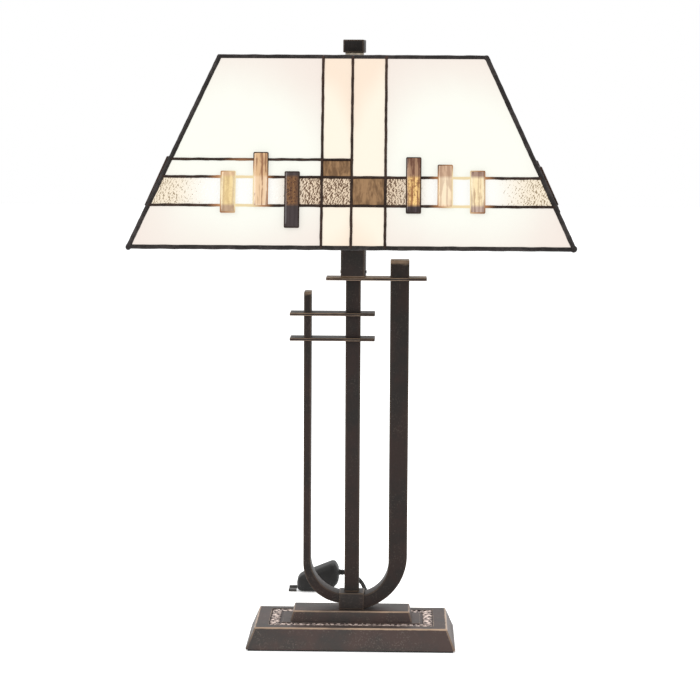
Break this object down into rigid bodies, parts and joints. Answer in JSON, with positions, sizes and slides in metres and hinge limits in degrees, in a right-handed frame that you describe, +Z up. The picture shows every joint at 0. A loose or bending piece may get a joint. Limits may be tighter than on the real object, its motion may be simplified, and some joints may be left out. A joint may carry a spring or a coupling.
{
  "type": "stained glass table lamp",
  "caption": "Table lamp with a four-sided leaded glass shade over side-by-side bulbs, a square column flanked by curved flat arms, a stepped plinth and a mains cord.",
  "frame": {"origin": "bottom centre of the base, where the felt pad meets the table", "axes": "+Z up, +X to the right as seen from the front, +Y to the back, where the cord leaves"},
  "size_m": [0.438, 0.383, 0.6205],
  "materials": {
    "patinated_metal": "dark brown patina, satin, worn paler on edges",
    "steel": "zinc plated",
    "iron": "raw casting",
    "felt": "dense felt",
    "rod_brass": "plain turned",
    "fitting_metal": "dark bronze, satin",
    "insulator": "glazed white",
    "knob_plastic": "moulded, polished",
    "cap_metal": "bare",
    "bulb_glass": "frosted white",
    "wire_insulation": "smooth",
    "cord_rubber": "matte black",
    "plug_plastic": "matte black, moulded",
    "pin_brass": "plain",
    "solder": "dark brown patina over solder",
    "bar_glass": "streaked brown, amber and mauve, polished",
    "opal_glass": "milky opal, polished",
    "cream_glass": "cream, polished",
    "hammered_glass": "hammered, cream and brown",
    "streaky_glass": "streaked brown, polished"
  },
  "bodies": {
    "lamp_base": {"base_casting": "patinated_metal", "base_weights": "iron", "bottom_plate": "steel", "bottom_screws": "steel", "centre_column": "patinated_metal", "cluster_body": "fitting_metal", "cord_boot": "cord_rubber", "cord_coil": "cord_rubber", "cord_lead": "cord_rubber", "cord_tail": "cord_rubber", "felt_pad": "felt", "inner_wires": "wire_insulation", "lampholder_inserts": "insulator", "lampholder_shells": "fitting_metal", "left_arm": "patinated_metal", "lower_bar": "patinated_metal", "middle_bar": "patinated_metal", "neck_block": "patinated_metal", "neck_screws": "steel", "plug_body": "plug_plastic", "plug_pins": "pin_brass", "right_arm": "patinated_metal", "riser_rod": "rod_brass", "rod_nuts": "steel", "stem_block": "patinated_metal", "stem_rod": "rod_brass", "upper_bar": "patinated_metal", "upper_plinth": "patinated_metal"},
    "shade": {"bottom_rim": "solder", "corner_cames": "solder", "cream_glass_back": "cream_glass", "cream_glass_front": "cream_glass", "cream_glass_sides": "cream_glass", "hammered_glass_back": "hammered_glass", "hammered_glass_front": "hammered_glass", "hammered_glass_sides": "hammered_glass", "lead_lines_back": "solder", "lead_lines_front": "solder", "lead_lines_sides": "solder", "opal_glass_back": "opal_glass", "opal_glass_front": "opal_glass", "opal_glass_sides": "opal_glass", "overlay_bars_back": "bar_glass", "overlay_bars_front": "bar_glass", "overlay_bars_sides": "bar_glass", "spider": "solder", "streaky_glass_back": "streaky_glass", "streaky_glass_front": "streaky_glass", "streaky_glass_sides": "streaky_glass", "top_rim": "solder"},
    "finial": {"finial": "patinated_metal", "finial_washer": "fitting_metal"},
    "bulb_left": {"bulb_cap_left": "cap_metal", "bulb_glass_left": "bulb_glass"},
    "bulb_right": {"bulb_cap_right": "cap_metal", "bulb_glass_right": "bulb_glass"},
    "knob_left": {"switch_knob_left": "knob_plastic"},
    "knob_right": {"switch_knob_right": "knob_plastic"}
  },
  "joints": [
    {"name": "shade_lift", "type": "slide", "parent": "lamp_base", "child": "shade", "axis": [0, 0, 1], "range_m": [0, 0.21]},
    {"name": "finial_turn", "type": "hinge", "parent": "shade", "child": "finial", "pos_m": [0, 0, 0.61], "axis": [0, 0, 1], "continuous": true},
    {"name": "bulb_left_out", "type": "slide", "parent": "lamp_base", "child": "bulb_left", "axis": [-1, 0, 0], "range_m": [0, 0.03]},
    {"name": "bulb_right_out", "type": "slide", "parent": "lamp_base", "child": "bulb_right", "axis": [1, 0, 0], "range_m": [0, 0.03]},
    {"name": "knob_left_turn", "type": "hinge", "parent": "lamp_base", "child": "knob_left", "pos_m": [-0.0205, 0, 0.44], "axis": [0, 0, -1], "continuous": true},
    {"name": "knob_right_turn", "type": "hinge", "parent": "lamp_base", "child": "knob_right", "pos_m": [0.0205, 0, 0.44], "axis": [0, 0, -1], "continuous": true}
  ]
}
